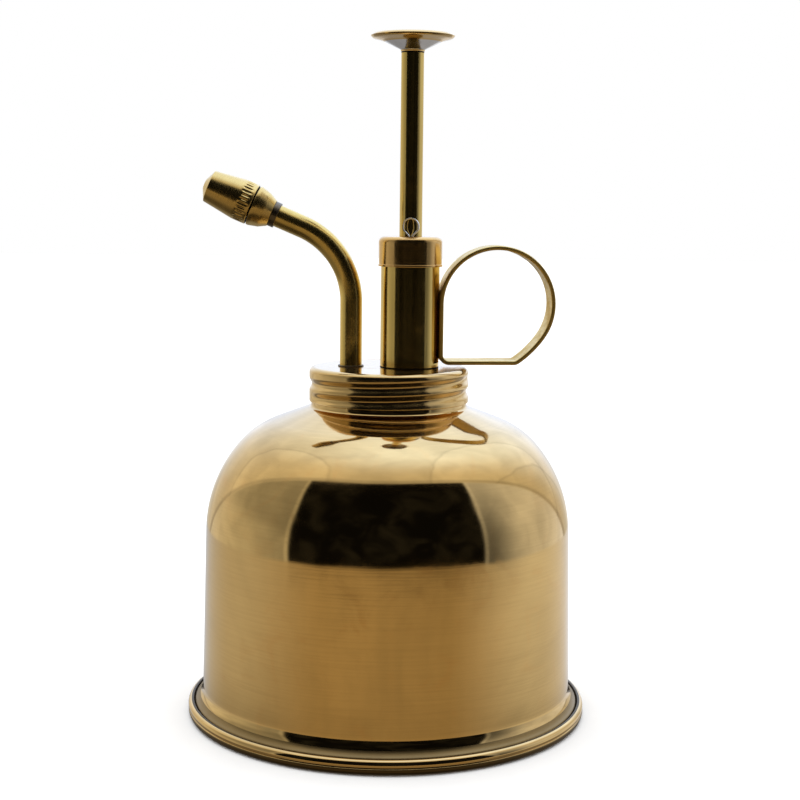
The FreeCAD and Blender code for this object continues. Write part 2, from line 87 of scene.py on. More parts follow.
class Pen:
    """Draws tangent runs and arcs in a plane as a list of points, `inset` to the left of the nominal line."""

    def __init__(self, x, z, heading, inset=0.0, pitch=0.8):
        self.heading = math.radians(heading)
        self.inset = inset
        self.pitch = pitch
        start = Vector((x, z)) + self.left() * inset
        self.points = [start]

    def left(self):
        return Vector((-math.sin(self.heading), math.cos(self.heading)))

    def run(self, length):
        start = self.points[-1]
        ahead = Vector((math.cos(self.heading), math.sin(self.heading)))
        steps = max(1, round(length / self.pitch))
        for i in range(steps):
            self.points.append(start + ahead * length * (i + 1) / steps)

    def bend(self, radius, angle, step=2.5):
        side = math.copysign(1.0, angle)
        real = radius - side * self.inset
        centre = self.points[-1] + self.left() * side * real
        steps = max(2, math.ceil(abs(angle) / step), round(math.radians(abs(angle)) * real / self.pitch))
        turn = math.radians(angle) / steps
        for _ in range(steps):
            self.heading += turn
            self.points.append(centre - self.left() * side * real)


def softened(corners, radius, steps=4):
    """A closed outline with each sharp corner rounded, and a held edge each side of it to keep flats flat."""
    out = []
    count = len(corners)
    for i in range(count):
        before, here, after = (Vector(corners[(i + k) % count]) for k in (-1, 0, 1))
        back, ahead = before - here, after - here
        angle = back.angle(ahead)
        if angle > math.radians(155):
            out.append(here)
            continue
        reach = min(radius / math.tan(angle / 2), 0.4 * back.length, 0.4 * ahead.length)
        back.normalize()
        ahead.normalize()
        first, last = here + back * reach, here + ahead * reach
        out.append(here + back * reach * 1.15)
        for k in range(steps + 1):
            t = k / steps
            out.append(first * (1 - t) ** 2 + here * 2 * t * (1 - t) + last * t * t)
        out.append(here + ahead * reach * 1.15)
    return out


def refined(outline, pitch):
    """The closed outline with no side longer than pitch."""
    out = []
    for start, end in zip(outline, outline[1:] + outline[:1]):
        steps = max(1, math.ceil((end - start).length / pitch))
        out += [start.lerp(end, k / steps) for k in range(steps)]
    return out


# ---- meshes ----

def smooth_step(low, high, value):
    t = min(1.0, max(0.0, (value - low) / (high - low)))
    return t * t * (3 - 2 * t)


def grid_mesh(name, rows, wrap_rows=True, sharp=32.0):
    """A closed skin over rows of points that each go all the way round."""
    mesh = bpy.data.meshes.new(name)
    count = len(rows[0])
    points = [p * MM for row in rows for p in row]
    faces = []
    last = len(rows) if wrap_rows else len(rows) - 1
    for i in range(last):
        a, b = i * count, ((i + 1) % len(rows)) * count
        for j in range(count):
            k = (j + 1) % count
            faces.append((a + j, a + k, b + k, b + j))
    if not wrap_rows:
        faces.append(tuple(reversed(range(count))))
        faces.append(tuple(range((len(rows) - 1) * count, len(rows) * count)))
    mesh.from_pydata(points, [], faces)
    work = bmesh.new()
    work.from_mesh(mesh)
    bmesh.ops.remove_doubles(work, verts=work.verts, dist=1e-7)
    bmesh.ops.recalc_face_normals(work, faces=work.faces)
    for face in work.faces:
        face.smooth = True
    work.to_mesh(mesh)
    work.free()
    mesh.set_sharp_from_angle(angle=math.radians(sharp))
    piece = bpy.data.objects.new(name, mesh)
    bpy.context.scene.collection.objects.link(piece)
    return piece


def lathe(name, outline, segments=192, x=0.0, shape=None, place=None, sharp=32.0):
    """Turns a closed outline of (radius, height) about an axis; `shape` may move the radius."""
    rows = []
    for radius, height in outline:
        row = []
        for j in range(segments):
            angle = 2 * math.pi * j / segments
            r = shape(radius, height, angle) if shape else radius
            point = Vector((x + r * math.cos(angle), r * math.sin(angle), height))
            row.append(place @ point if place else point)
        rows.append(row)
    return grid_mesh(name, rows, sharp=sharp)


def sweep(name, spine, section, closed=False, sharp=32.0):
    """Carries a closed section along a spine in the XZ plane. A section's points are (across, along Y)."""
    rows = []
    count = len(spine)
    for i, here in enumerate(spine):
        ahead = spine[(i + 1) % count] if closed or i + 1 < count else here
        behind = spine[i - 1] if closed or i else here
        along = (ahead - behind).normalized()
        side = Vector((-along.y, along.x))
        row = []
        for u, v in section:
            p = here + side * u
            row.append(Vector((p.x, v, p.y)))
        rows.append(row)
    return grid_mesh(name, rows, wrap_rows=closed, sharp=sharp)


def circle(radius, count):
    turns = [2 * math.pi * k / count for k in range(count)]
    return [(radius * math.cos(a), radius * math.sin(a)) for a in turns]


def nozzle_place():
    """Puts what is built along +Z from the nozzle's rear face onto the end of the spout."""
    turn = math.radians(SPOUT_TURN)
    across = SPOUT_BEND_R * (1 - math.cos(turn)) + SPOUT_RUN * math.sin(turn)
    rise = SPOUT_BEND_R * math.sin(turn) + SPOUT_RUN * math.cos(turn)
    rear = Matrix.Translation((SPOUT_X - across, 0, SPOUT_BEND_Z + rise))
    return rear @ Matrix.Rotation(-turn, 4, "Y")


# ---- node materials ----

class Nodes:
    """Short calls for building a node tree."""

    def __init__(self, tree):
        self.tree = tree
        tree.nodes.clear()

    def add(self, kind, inputs=None, **settings):
        node = self.tree.nodes.new(kind)
        for key, value in settings.items():
            setattr(node, key, value)
        for key, value in (inputs or {}).items():
            self.feed(node.inputs[key], value)
        return node

    def feed(self, socket, value):
        if isinstance(value, bpy.types.NodeSocket):
            self.tree.links.new(value, socket)
        elif value is not None:
            socket.default_value = value

    def math(self, operation, *values):
        node = self.add("ShaderNodeMath", operation=operation)
        for socket, value in zip(node.inputs, values):
            self.feed(socket, value)
        return node.outputs[0]

    def times(self, first, *others):
        for other in others:
            first = self.math("MULTIPLY", first, other)
        return first

    def plus(self, first, second):
        return self.math("ADD", first, second)

    def minus(self, first, second):
        return self.math("SUBTRACT", first, second)

    def step(self, low, high, value, to_low=0.0, to_high=1.0):
        """A smooth rise from to_low to to_high as value goes from low to high."""
        inputs = {"Value": value, "From Min": low, "From Max": high, "To Min": to_low, "To Max": to_high}
        node = self.add("ShaderNodeMapRange", interpolation_type="SMOOTHSTEP", inputs=inputs)
        return node.outputs["Result"]

    def blend(self, factor, first, second, mode="MIX"):
        node = self.add("ShaderNodeMix", data_type="RGBA", blend_type=mode)
        self.feed(node.inputs[0], factor)
        self.feed(node.inputs[6], first)
        self.feed(node.inputs[7], second)
        return node.outputs[2]

    def noise(self, vector, scale, detail=2.0, rough=0.5, distortion=0.0):
        inputs = {
            "Vector": vector, "Scale": scale, "Detail": detail, "Roughness": rough, "Distortion": distortion,
        }
        return self.add("ShaderNodeTexNoise", inputs=inputs).outputs["Fac"]

    def vector(self, x, y, z):
        return self.add("ShaderNodeCombineXYZ", inputs={"X": x, "Y": y, "Z": z}).outputs[0]

    def split(self, vector):
        node = self.add("ShaderNodeSeparateXYZ", inputs={"Vector": vector})
        return node.outputs[0], node.outputs[1], node.outputs[2]

    def bump(self, height, depth, normal=None):
        inputs = {"Height": height, "Strength": 1.0, "Distance": depth, "Normal": normal}
        return self.add("ShaderNodeBump", inputs=inputs).outputs["Normal"]

    def finish(self, kind, surface):
        output = self.add(kind)
        self.feed(output.inputs["Surface"], surface)


def new_material(name):
    material = bpy.data.materials.new(name)
    material.use_nodes = True
    return material, Nodes(material.node_tree)


def round_axis(nodes, x, tilt):
    """Cosine, sine, radius and height about an upright axis at x, or about the nozzle's axis if tilt."""
    vector = nodes.add("ShaderNodeTexCoord").outputs["Object"]
    if tilt:
        rear = nozzle_place().translation * MM
        shift = nodes.add("ShaderNodeVectorMath", operation="SUBTRACT", inputs={0: vector, 1: rear})
        inputs = {"Vector": shift.outputs[0], "Angle": math.radians(SPOUT_TURN)}
        vector = nodes.add("ShaderNodeVectorRotate", rotation_type="Y_AXIS", inputs=inputs).outputs[0]
    px, py, pz = nodes.split(vector)
    if x:
        px = nodes.minus(px, x * MM)
    radius = nodes.math("SQRT", nodes.plus(nodes.times(px, px), nodes.times(py, py)))
    safe = nodes.math("MAXIMUM", radius, 1e-5)
    return nodes.math("DIVIDE", px, safe), nodes.math("DIVIDE", py, safe), radius, pz


OPAQUE = (1.0,)
METAL, NOT_METAL = 1.0, 0.0
ROUND_GRAIN = 2.2                # how often the tool lines that go round break up
LENGTHWISE_GRAIN = 90.0          # the same to a metre, for lines along the axis
GROOVE_BROWN = (0.30, 0.20, 0.08, 1.0)
# Near black of painted shade and of dark joint lines.
JOINT_AND_SHADE_BLACK = (0.02, 0.014, 0.008, 1.0)


def shaded(colour, *shares):
    """The colour with each channel brought down to its share, ready for a node."""
    return tuple(c * share for c, share in zip(colour, shares)) + OPAQUE


def brass(
    name, colour, rough, mottle, lines, line_depth, x=0.0, tilt=False, lengthwise=False, wave=0.0, joints_and_shade=(),
):
    """Brass with cloudy colour, finger smudges, fine tool lines and slight waviness.

    lines is how many tool lines there are to a metre. They go round the axis, or along it if lengthwise.
    The depths of the lines and of the waves are in millimetres. The last argument lists rings darkened by
    painted shade and by dark joint lines: lowest height, highest height, least radius, largest radius and the
    fade above it, in millimetres, and how dark it is.
    """
    material, nodes = new_material(name)
    cosine, sine, radius, height = round_axis(nodes, x, tilt)
    place = nodes.add("ShaderNodeTexCoord").outputs["Object"]
    if lengthwise:
        across, along = lines, nodes.times(height, LENGTHWISE_GRAIN)
    else:
        across, along = ROUND_GRAIN, nodes.times(nodes.plus(height, radius), lines)
    wound = nodes.vector(nodes.times(cosine, across), nodes.times(sine, across), along)
    fine = nodes.noise(wound, 1.0, 3.0, 0.6)
    cloud = nodes.noise(place, 27.0, 4.0, 0.55, 0.9)
    smudge = nodes.noise(place, 95.0, 5.0, 0.6, 1.2)
    dull = shaded(colour, 1 - mottle, 1 - mottle, 1 - mottle)
    base = nodes.blend(nodes.step(0.34, 0.72, cloud), shaded(colour, 1, 1, 1), dull)
    red = shaded(colour, 1 - 0.25 * mottle, 1 - 0.9 * mottle, 1 - 1.4 * mottle)
    base = nodes.blend(nodes.step(0.52, 0.8, smudge, 0.0, 0.55), base, red)
    base = nodes.blend(nodes.step(0.3, 0.75, fine, 0.0, 0.35 * mottle + 0.04), base, GROOVE_BROWN)
    smeared = nodes.step(0.42, 0.75, smudge, rough, rough * 1.7)
    gloss = nodes.plus(smeared, nodes.step(0.4, 0.8, fine, 0.0, rough * 0.5))
    # Each ring paints the brass near black: painted shade in crevices, gaps and under the rim, and dark joint
    # lines.
    for low, high, least, reach, fade, strength in joints_and_shade:
        mark = nodes.step(high * MM, (high + fade) * MM, height, strength, 0.0)
        mark = nodes.times(
            mark,
            nodes.math("GREATER_THAN", height, low * MM),
            nodes.math("LESS_THAN", radius, reach * MM),
            nodes.math("GREATER_THAN", radius, least * MM),
        )
        base = nodes.blend(mark, base, JOINT_AND_SHADE_BLACK)
        gloss = nodes.plus(gloss, nodes.times(mark, 0.4))
    normal = nodes.bump(fine, line_depth * MM)
    if wave:
        normal = nodes.bump(nodes.noise(place, 55.0, 1.0, 0.4), wave * MM, normal)
    inputs = {"Base Color": base, "Metallic": METAL, "Roughness": gloss, "Normal": normal}
    shader = nodes.add("ShaderNodeBsdfPrincipled", inputs=inputs)
    nodes.finish("ShaderNodeOutputMaterial", shader.outputs[0])
    return material


def clouded(name, colour, second, rough, metallic, scale, depth, clear=0.0):
    """Two colours clouded together with a matching bump, `depth` deep in millimetres."""
    material, nodes = new_material(name)
    place = nodes.add("ShaderNodeTexCoord").outputs["Object"]
    grain = nodes.noise(place, scale, 5.0, 0.6, 0.3)
    cloud = nodes.noise(place, scale * 0.22, 3.0)
    base = nodes.blend(nodes.step(0.35, 0.68, cloud), shaded(colour, 1, 1, 1), shaded(second, 1, 1, 1))
    base = nodes.blend(nodes.step(0.45, 0.8, grain, 0.0, 0.3), base, shaded(colour, 0.6, 0.6, 0.6))
    gloss = nodes.step(0.3, 0.75, grain, rough * 0.8, min(1.0, rough * 1.3))
    inputs = {
        "Base Color": base, "Metallic": metallic, "Roughness": gloss, "Normal": nodes.bump(grain, depth * MM),
        "Transmission Weight": clear,
    }
    shader = nodes.add("ShaderNodeBsdfPrincipled", inputs=inputs)
    nodes.finish("ShaderNodeOutputMaterial", shader.outputs[0])
    return material


BRASS = (0.80, 0.56, 0.25)
DRAWN = (0.84, 0.61, 0.20)
TURNED = (0.84, 0.60, 0.22)
GILT = (0.82, 0.53, 0.21)

tank_brass = brass(
    "tank_brass", BRASS, 0.06, 0.17, 2600.0, 0.0012, wave=0.09,
    joints_and_shade=(
        (3.0, 3.82, 47.5, 48.2, 0.01, 0.9),       # dark joint line between the wall and the rim, with painted shade in the crevice
        (3.0, 5.6, 46.0, 47.6, 3.4, 0.62),        # painted shade at the foot of the wall, for the shadowed floor it reflects
        (-1.0, 1.55, 47.9, 60.0, 0.4, 0.82),      # painted contact shadow on the underside of the rim
    ),
)
cap_brass = brass("cap_brass", BRASS, 0.13, 0.10, 3400.0, 0.002, wave=0.05)
dish_brass = brass("dish_brass", BRASS, 0.13, 0.09, 3000.0, 0.002, x=PUMP_X, wave=0.04)
gland_brass = brass("gland_brass", GILT, 0.16, 0.12, 3000.0, 0.002, x=PUMP_X, wave=0.12)
barrel_brass = brass(
    "barrel_brass", DRAWN, 0.12, 0.16, 60.0, 0.003, x=PUMP_X, lengthwise=True, wave=0.03,
    # Near-black rings where the barrel meets the cap and the rod meets the dish: dark joint lines with
    # painted shade in the joints.
    joints_and_shade=((85.5, 85.85, 0.0, 9.0, 0.02, 1.0), (160.5, 160.8, 0.0, 9.0, 0.02, 1.0)),
)
spout_brass = brass("spout_brass", DRAWN, 0.19, 0.16, 30.0, 0.003, x=SPOUT_X, lengthwise=True, wave=0.02)
strap_brass = brass("strap_brass", DRAWN, 0.36, 0.14, 2400.0, 0.002, x=LOOP_X, wave=0.03)
nozzle_brass = brass(
    "nozzle_brass", TURNED, 0.21, 0.14, 5200.0, 0.003, tilt=True, wave=0.02,
    # Painted shade in the narrow gap between the nozzle's body and its cap.
    joints_and_shade=((3.74, 4.2, 0.0, 4.88, 0.02, 1.0),),
)
inner_brass = brass("inner_brass", TURNED, 0.22, 0.15, 5200.0, 0.005, x=PUMP_X)
tin_wash = clouded("tin_wash", (0.84, 0.81, 0.78), (0.74, 0.72, 0.70), 0.16, METAL, 500.0, 0.01)
solder_grey = clouded("solder_grey", (0.21, 0.17, 0.12), (0.10, 0.08, 0.06), 0.34, METAL, 900.0, 0.03)
pin_steel = clouded("pin_steel", (0.95, 0.93, 0.90), (0.78, 0.76, 0.73), 0.38, METAL, 1500.0, 0.004)
ball_steel = clouded("ball_steel", (0.70, 0.70, 0.72), (0.60, 0.60, 0.62), 0.10, METAL, 1200.0, 0.003)
spring_wire = clouded("spring_wire", (0.55, 0.55, 0.57), (0.36, 0.36, 0.38), 0.28, METAL, 1500.0, 0.006)
rubber = clouded("rubber", (0.035, 0.035, 0.035), (0.06, 0.06, 0.06), 0.62, NOT_METAL, 1600.0, 0.02)
leather = clouded("leather", (0.30, 0.18, 0.10), (0.20, 0.11, 0.06), 0.52, NOT_METAL, 1100.0, 0.06)
milky = clouded(
    "milky_plastic", (0.84, 0.86, 0.85), (0.76, 0.79, 0.78), 0.34, NOT_METAL, 700.0, 0.02, clear=0.35,
)

BY_SLOT = {
    "polished_brass": tank_brass, "drawn_brass": barrel_brass,
    "machined_brass": inner_brass, "solder": solder_grey,
    "steel_wire": pin_steel, "steel_ball": ball_steel, "spring_steel": spring_wire, "black_rubber": rubber,
    "leather_cup": leather, "clear_plastic": milky,
}


def finish_nodes():
    """Gives every CAD node the detailed material of its own slot."""
    for part in frame["record"]["subparts"]:
        node = frame["nodes"].get(part["node"])
        if node is None:
            continue
        node.data.materials.clear()
        node.data.materials.append(BY_SLOT[part["material_slot"]])
        for face in node.data.polygons:
            face.material_index = 0


def add_piece(piece, body, node, material):
    piece.data.materials.clear()
    piece.data.materials.append(material)
    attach(piece, body)
    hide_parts(node)


finish_nodes()


# ---- tank ----

def bell_outline():
    sides = []
    for inset in (0.0, SHEET):
        pen = Pen(TANK_R, 0.9, 90.0, inset)
        pen.run(2.0)
        pen.bend(1.2, 51.16, 4.0)
        pen.bend(4.5, -49.86, 2.0)
        pen.run(38.77)
        pen.bend(32.6, 39.3, 1.5)
        pen.bend(21.5, 28.5, 1.5)
        pen.run(9.0012)
        pen.bend(1.0, -69.1, 5.0)
        pen.run(NECK_TOP_Z - pen.points[-1].y)
        sides.append(pen.points)
    return sides[0] + sides[1][::-1]


bell = lathe("tank_bell", bell_outline(), 288)
add_piece(bell, "tank", "reservoir_shell", tank_brass)


def rim_outline():
    pen = Pen(45.95, 0.0, 0.0, pitch=0.5)
    pen.run(1.63)
    pen.bend(1.4, 90.0, 6.0)
    pen.run(0.24)
    low = pen.points
    fold = [
        Vector((RIM_R - deep, FOLD_Z + up))
        for deep, up in ((0.03, -0.18), (0.16, -0.08), (0.24, 0.0), (0.16, 0.08), (0.03, 0.18))
    ]
    top = Pen(RIM_R, FOLD_Z + 0.3, 90.0, pitch=0.3)
    top.run(0.35)
    top.bend(1.25, 90.0, 7.0)
    inner = (
        (47.7, RIM_TOP_Z - 0.01), (47.6, RIM_TOP_Z - 0.12), (TANK_R, 2.9), (TANK_R, 0.9), (45.85, 0.9),
        (45.85, 0.1),
    )
    return low + fold + top.points + [Vector(p) for p in inner]


rim = lathe("rolled_rim", rim_outline(), 288, sharp=50.0)
add_piece(rim, "tank", "base_rim", tank_brass)


# ---- screw cap ----

def thread_depth(angle, height):
    """How deep the rolled thread's groove is at this place on the cap's skirt."""
    deepest = 0.0
    first = ((angle - THREAD_START) / (2 * math.pi)) % 1.0
    for turns in (first, first + 1.0):
        if turns > THREAD_TURNS:
            continue
        away = abs(height - THREAD_START_Z - THREAD_PITCH * turns)
        if away < THREAD_HALF:
            fade = smooth_step(0.0, THREAD_FADE, turns) * smooth_step(0.0, THREAD_FADE, THREAD_TURNS - turns)
            deepest = max(deepest, fade * THREAD_DEPTH * (0.5 + 0.5 * math.cos(math.pi * away / THREAD_HALF)))
    return deepest


def cap_outline():
    pen = Pen(SKIRT_BORE_R + 0.15, CAP_FOOT_Z, 0.0, pitch=0.12)
    pen.run(0.45)
    pen.bend(0.2, 90.0, 15.0)
    pen.run(6.8)
    pen.bend(1.4, 90.0, 6.0)
    top = [Vector((radius, CAP_TOP_Z)) for radius in (PLATE_R, 15.0, 12.0, 9.0, HOLE_R)]
    under = [Vector((radius, CAP_UNDER_Z)) for radius in (HOLE_R, 12.0, 18.2)]
    depth, steps = 6.9, 56
    corner_z = CAP_UNDER_Z - 0.4
    bore = [Vector((SKIRT_BORE_R, corner_z - depth * k / steps)) for k in range(steps + 1)]
    return pen.points + top + under + bore


def cap_shape(radius, height, angle):
    """Leaves the cap's flat and its bottom edge as they are, and rolls the thread into the rest."""
    if radius < SKIRT_BORE_R - 0.1 or height < CAP_FOOT_Z + 0.15:
        return radius
    return radius - thread_depth(angle, height)


def move_hole(piece):
    """Slides the rings of the flat sideways, so that the hole comes under the barrel."""
    for vertex in piece.data.vertices:
        inside = PLATE_R * MM - math.hypot(vertex.co.x, vertex.co.y)
        if inside > 0.0:
            vertex.co.x += PUMP_X * inside / (PLATE_R - HOLE_R)


threaded_cap = lathe("threaded_cap", cap_outline(), 288, shape=cap_shape)
move_hole(threaded_cap)
add_piece(threaded_cap, "head", "screw_cap", cap_brass)


# ---- pump ----

barrel = refined(softened([(7.12, 50.0), (7.12, 114.5), (6.32, 114.5), (6.32, 50.0)], 0.1), 4.0)
add_piece(lathe("barrel", barrel, 128, PUMP_X), "head", "pump_barrel", barrel_brass)


def gland_outline():
    pen = Pen(7.3, GLAND_FOOT_Z, 0.0, pitch=0.3)
    pen.run(0.43)
    pen.bend(0.06, 90.0, 30.0)
    pen.run(0.38)
    pen.bend(0.06, 90.0, 30.0)
    pen.bend(0.06, -90.0, 30.0)
    pen.run(5.27)
    pen.bend(1.35, 88.0, 6.0)
    top = min(GLAND_TOP_Z, pen.points[-1].y + 0.02)
    plate = [(radius, top) for radius in (5.2, 4.0, 3.2, 2.95)]
    bore = [(2.85, 117.14), (2.81, 117.05), (2.81, 116.0), (7.14, 116.0), (7.14, GLAND_FOOT_Z)]
    return pen.points + [Vector(p) for p in plate + bore]


nut = lathe("packing_nut", gland_outline(), 160, PUMP_X, sharp=50.0)
add_piece(nut, "head", "barrel_cap", gland_brass)

rod_corners = [
    (0.02, 96.8), (1.9, 96.8), (1.9, 108.8), (ROD_R, 108.8), (ROD_R, ROD_TOP_Z), (RIVET_R, ROD_TOP_Z),
    (RIVET_R, HUB_TOP_Z), (1.95, HUB_TOP_Z), (1.6, 163.0), (0.02, 163.3),
]
rod = lathe("rod", refined(softened(rod_corners, 0.1), 4.0), 96, PUMP_X)
add_piece(rod, "plunger", "plunger_rod", barrel_brass)


def add_spring():
    """A coil of the CAD spring's own shape."""
    coil = bpy.data.objects.new("spring_coil", frame["nodes"]["return_spring"].data.copy())
    bpy.context.scene.collection.objects.link(coil)
    add_piece(coil, "head", "return_spring", spring_wire)
    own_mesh(coil)


add_spring()


def dish_outline():
    sides = []
    for inset in (0.0, SHEET):
        pen = Pen(2.3, ROD_TOP_Z + 0.2, 25.8, inset, pitch=0.25)
        pen.run(5.4)
        pen.bend(2.0, -13.0, 3.0)
        pen.run(1.6)
        pen.bend(1.3, 40.0, 4.0)
        pen.run(0.24)
        sides.append(pen.points)
    under, upper = sides
    tip = (under[-1] + upper[-1]) / 2
    along = Vector((math.cos(pen.heading), math.sin(pen.heading)))
    across = (upper[-1] - under[-1]) / 2
    lip = [tip + along * 0.04 * math.cos(a) + across * math.sin(a) for a in (-1.2, -0.6, 0.0, 0.6, 1.2)]
    hub = ((RIVET_R, 162.4), (RIVET_R, ROD_TOP_Z), (ROD_R, ROD_TOP_Z), (2.85, 160.83), (2.9, 161.15))
    return [Vector(p) for p in hub] + under[3:] + lip + upper[::-1]


def tin_underside(piece):
    """Gives the cone under the dish the tinned finish."""
    piece.data.materials.append(tin_wash)
    for face in piece.data.polygons:
        out = math.hypot(face.center.x - PUMP_X * MM, face.center.y)
        if face.normal.z < -0.2 and out < TIN_R * MM:
            face.material_index = 1


dish = lathe("dish", dish_outline(), 160, PUMP_X, sharp=40.0)
add_piece(dish, "plunger", "thumb_dish", dish_brass)
tin_underside(dish)


def pin_spine():
    """Up one leg, round the eye and down the other leg, mirrored about the pump's axis."""
    eye_r, leg, eye_z = 1.85, 0.4, 119.64
    knee_z = eye_z - 2.25
    half = math.degrees(math.atan2(eye_r - leg, 1.5))
    pen = Pen(PUMP_X - leg, PIN_FOOT_Z, 90.0, pitch=0.3)
    pen.run(knee_z - 0.2 - PIN_FOOT_Z)
    pen.bend(0.5, half, 8.0)
    reach = (PUMP_X - eye_r + 0.25 - pen.points[-1].x) / math.cos(pen.heading)
    pen.run(max(0.3, reach))
    pen.bend(0.9, -half, 8.0)
    left_x = pen.points[-1].x
    pen.run(max(0.05, eye_z - pen.points[-1].y))
    pen.bend(PUMP_X - left_x, -180.0, 6.0)
    left = [p for p in pen.points if p.x <= PUMP_X]
    mirrored = [Vector((2 * PUMP_X - p.x, p.y)) for p in pen.points]
    right = [p for p in mirrored if p.x >= PUMP_X][::-1]
    return left + [p for p in right if (p - left[-1]).length > 0.05]


def half_round_wire():
    flat, crown, half = 0.19, 0.27, 0.38
    arc = [math.pi * k / 10 for k in range(1, 10)]
    outline = [(flat, -half), (flat, half)] + [(-crown * math.sin(a) + 0.1, half * math.cos(a)) for a in arc]
    return softened([Vector(p) for p in outline], 0.05, 3)


cotter = sweep("cotter", pin_spine(), half_round_wire())
stand = Matrix.Translation((PUMP_X * MM, PIN_Y * MM, 0)) @ Matrix.Rotation(PIN_TURN, 4, "Z")
cotter.data.transform(stand @ Matrix.Translation((-PUMP_X * MM, 0, 0)))
add_piece(cotter, "head", "split_pin", pin_steel)


# ---- finger loop and spout ----

def loop_spine():
    """The middle line of the strap: up the barrel, over the ring, down the slope and back along the foot."""
    bottom, foot_r, heel_r = 86.35, 2.5, 2.4
    slope = math.radians(35)
    pen = Pen(LOOP_X - LOOP_R, bottom + foot_r, 90.0, -STRAP / 2, pitch=0.5)
    pen.run(LOOP_Z - bottom - foot_r)
    pen.bend(LOOP_R, -215.0, 2.5)
    pen.bend(24.5, -20.0, 2.0)
    floor = bottom + STRAP / 2
    heel_top = floor + (heel_r - STRAP / 2) * (1 - math.cos(slope))
    pen.run((pen.points[-1].y - heel_top) / math.sin(slope))
    pen.bend(heel_r, -35.0, 3.0)
    pen.run(pen.points[-1].x - (LOOP_X - LOOP_R + foot_r))
    pen.bend(foot_r, -90.0, 5.0)
    points = pen.points
    return points[:-1] if (points[-1] - points[0]).length < 0.05 else points


half, wide = STRAP / 2, STRAP_HALF_WIDTH
strap = softened([(-half, -wide), (half, -wide), (half, wide), (-half, wide)], 0.42, 7)
loop = sweep("loop_strap", loop_spine(), strap, closed=True, sharp=60.0)
about_barrel = Matrix.Translation((PUMP_X * MM, 0, 0))
loop.data.transform(about_barrel @ Matrix.Rotation(LOOP_TURN, 4, "Z") @ about_barrel.inverted())
add_piece(loop, "head", "finger_loop", strap_brass)


def spout_spine():
    pen = Pen(SPOUT_X, SPOUT_FOOT_Z, 90.0, pitch=1.5)
    pen.run(SPOUT_BEND_Z - SPOUT_FOOT_Z)
    pen.bend(SPOUT_BEND_R, SPOUT_TURN, 1.5)
    pen.run(SPOUT_RUN + SPOUT_IN_NOZZLE)
    return pen.points


def pipe(name, spine, outer, bore):
    """A hollow pipe along a spine in the XZ plane."""
    rows = []
    count = len(spine)
    for radius, order in ((outer, range(count)), (bore, reversed(range(count)))):
        for i in order:
            along = (spine[min(i + 1, count - 1)] - spine[max(i - 1, 0)]).normalized()
            side = Vector((-along.y, along.x))
            row = []
            for u, v in circle(radius, 56):
                p = spine[i] + side * u
                row.append(Vector((p.x, v, p.y)))
            rows.append(row)
    return grid_mesh(name, rows)


add_piece(pipe("spout", spout_spine(), 2.68, 1.9), "head", "spout_tube", spout_brass)
seam = softened([(2.69, 85.6), (3.13, 85.6), (3.13, 85.9), (2.69, 85.9)], 0.2)
add_piece(lathe("spout_collar", seam, 72, SPOUT_X), "head", "spout_base_ring", solder_grey)


# ---- nozzle ----

on_spout = nozzle_place()


def ribbed(low, high, at, depth, sharpness):
    """Flutes cut along the axis between two heights of the skirt at radius `at` or more."""

    def shape(radius, height, angle):
        inside = smooth_step(low - 0.15, low + 0.1, height) * smooth_step(-high - 0.1, -high + 0.15, -height)
        if radius < at or inside == 0.0:
            return radius
        wave = 0.5 - 0.5 * math.cos(angle * FLUTES)
        return radius - depth * inside * (1 - wave) ** sharpness

    return shape


washer = softened([(2.69, -2.5), (3.1, -2.5), (3.1, -1.0), (2.69, -1.0)], 0.12)
add_piece(lathe("solder_ring", washer, 72, place=on_spout), "head", "nozzle_washer", solder_grey)

body = [
    (2.69, -1.0), (3.25, -1.0), (4.3, 0.9), (4.9, 3.2), (4.9, 3.8), (3.0, 3.8), (3.0, 10.6), (2.0, 10.6),
    (2.0, 2.8), (2.69, 2.8),
]
collar = lathe("nozzle_collar", refined(softened(body, 0.12), 0.5), 128, place=on_spout)
add_piece(collar, "head", "nozzle_body", nozzle_brass)
cone = [
    (3.1, 4.15), (4.9, 4.15), (5.0, 4.25), (5.0, 7.6), (3.95, 15.25), (1.3, 16.5), (0.45, 16.5), (0.45, 14.9),
    (1.2, 14.2), (2.5, 13.4), (2.5, 10.9), (3.1, 10.9),
]
flutes = ribbed(5.1, 7.1, 4.6, 0.2, 1.6)
tip = lathe("nozzle_tip", refined(softened(cone, 0.14), 0.4), 360, shape=flutes, place=on_spout)
add_piece(tip, "nozzle", "nozzle_cap", nozzle_brass)


# ---- floor, light and camera ----

SUN_SPREAD, SUN_STRENGTH = math.radians(70.0), 1.15
SENSOR_WIDTH, FOCAL_LENGTH = 36.0, 69.60
EYE = (0.002755, -0.375079, 0.125759)
EYE_TILT, EYE_ROLL = math.radians(82.645), math.radians(0.626)
FLOOR_HALF = 3.0


def add_floor():
    mesh = bpy.data.meshes.new("floor")
    corners = [(x * FLOOR_HALF, y * FLOOR_HALF, 0) for x, y in ((-1, -1), (1, -1), (1, 1), (-1, 1))]
    mesh.from_pydata(corners, [], [(0, 1, 2, 3)])
    floor = bpy.data.objects.new("floor", mesh)
    bpy.context.scene.collection.objects.link(floor)
    material, nodes = new_material("floor_paper")
    place = nodes.add("ShaderNodeTexCoord").outputs["Object"]
    grain = nodes.noise(place, 60.0, 3.0)
    base = nodes.blend(nodes.step(0.3, 0.7, grain), (0.90, 0.90, 0.90, 1.0), (0.915, 0.915, 0.91, 1.0))
    shader = nodes.add("ShaderNodeBsdfDiffuse", inputs={"Color": base})
    nodes.finish("ShaderNodeOutputMaterial", shader.outputs[0])
    mesh.materials.append(material)
    floor.visible_glossy = False


